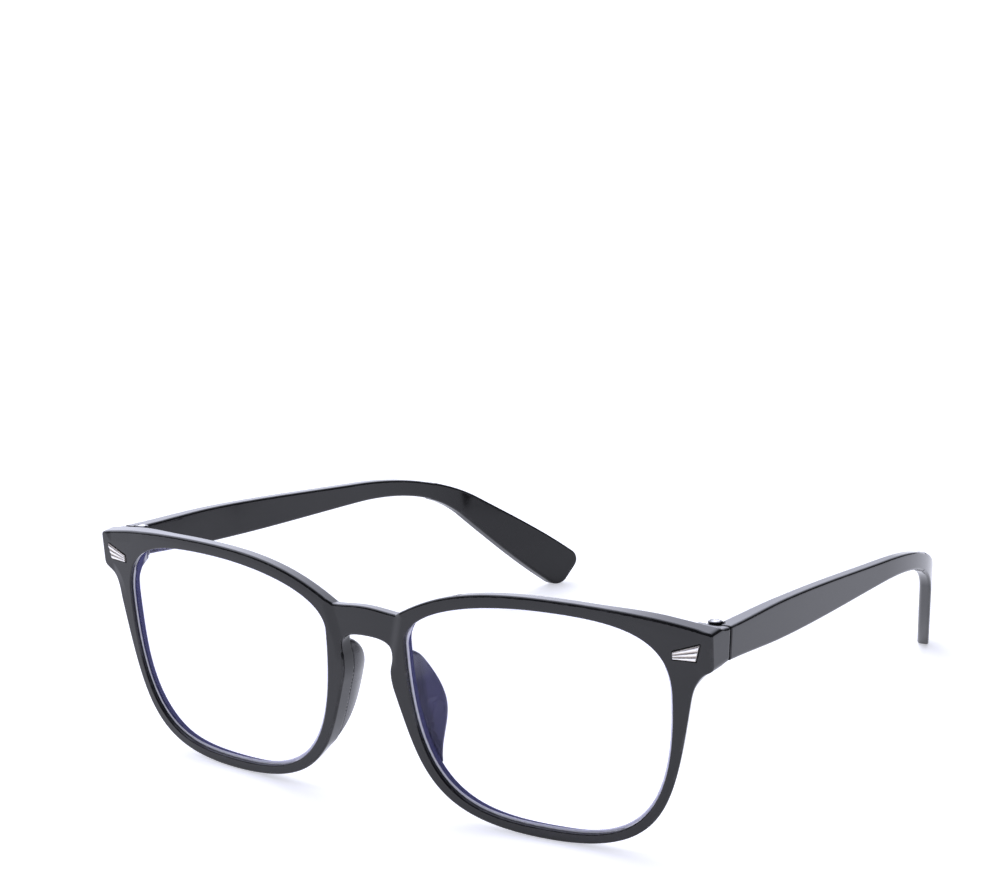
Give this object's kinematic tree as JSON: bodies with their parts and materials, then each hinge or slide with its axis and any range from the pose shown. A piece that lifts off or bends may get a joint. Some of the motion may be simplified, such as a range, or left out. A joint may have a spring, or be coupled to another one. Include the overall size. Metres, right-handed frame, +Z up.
{
  "type": "blue light glasses",
  "caption": "Full-rim square glasses with clear coated lenses, keyhole bridge, bonded nose pads, inlaid end-piece trims and two temples folding on screw hinges.",
  "frame": {"origin": "on the table under the middle of the open glasses: mid width, mid depth, lowest point of the rims and temple tips", "axes": "+Z up, the lenses face -Y, the temples point to +Y, the wearer's left is +X"},
  "size_m": [0.138, 0.1392, 0.0461],
  "materials": {
    "frame": "gloss",
    "temple": "gloss",
    "pad": "gloss",
    "lens": "gloss, blue-violet coating",
    "trim": "cast, satin",
    "hinge": "satin",
    "screw": "polished"
  },
  "bodies": {
    "front": {"frame_front": "frame", "left_lens": "lens", "right_lens": "lens", "left_nose_pad": "pad", "right_nose_pad": "pad", "left_trim": "trim", "right_trim": "trim", "left_front_hinge": "hinge", "right_front_hinge": "hinge", "left_hinge_screw": "screw", "right_hinge_screw": "screw"},
    "left_temple": {"left_temple": "temple", "left_temple_hinge": "hinge"},
    "right_temple": {"right_temple": "temple", "right_temple_hinge": "hinge"}
  },
  "joints": [
    {"name": "left_temple_fold", "type": "hinge", "parent": "front", "child": "left_temple", "pos_m": [0.0652, -0.05565, 0.03935], "axis": [0, 0.093, 0.9957], "range_deg": [0, 80]},
    {"name": "right_temple_fold", "type": "hinge", "parent": "front", "child": "right_temple", "pos_m": [-0.0652, -0.05565, 0.03935], "axis": [0, -0.093, -0.9957], "range_deg": [0, 66]}
  ]
}
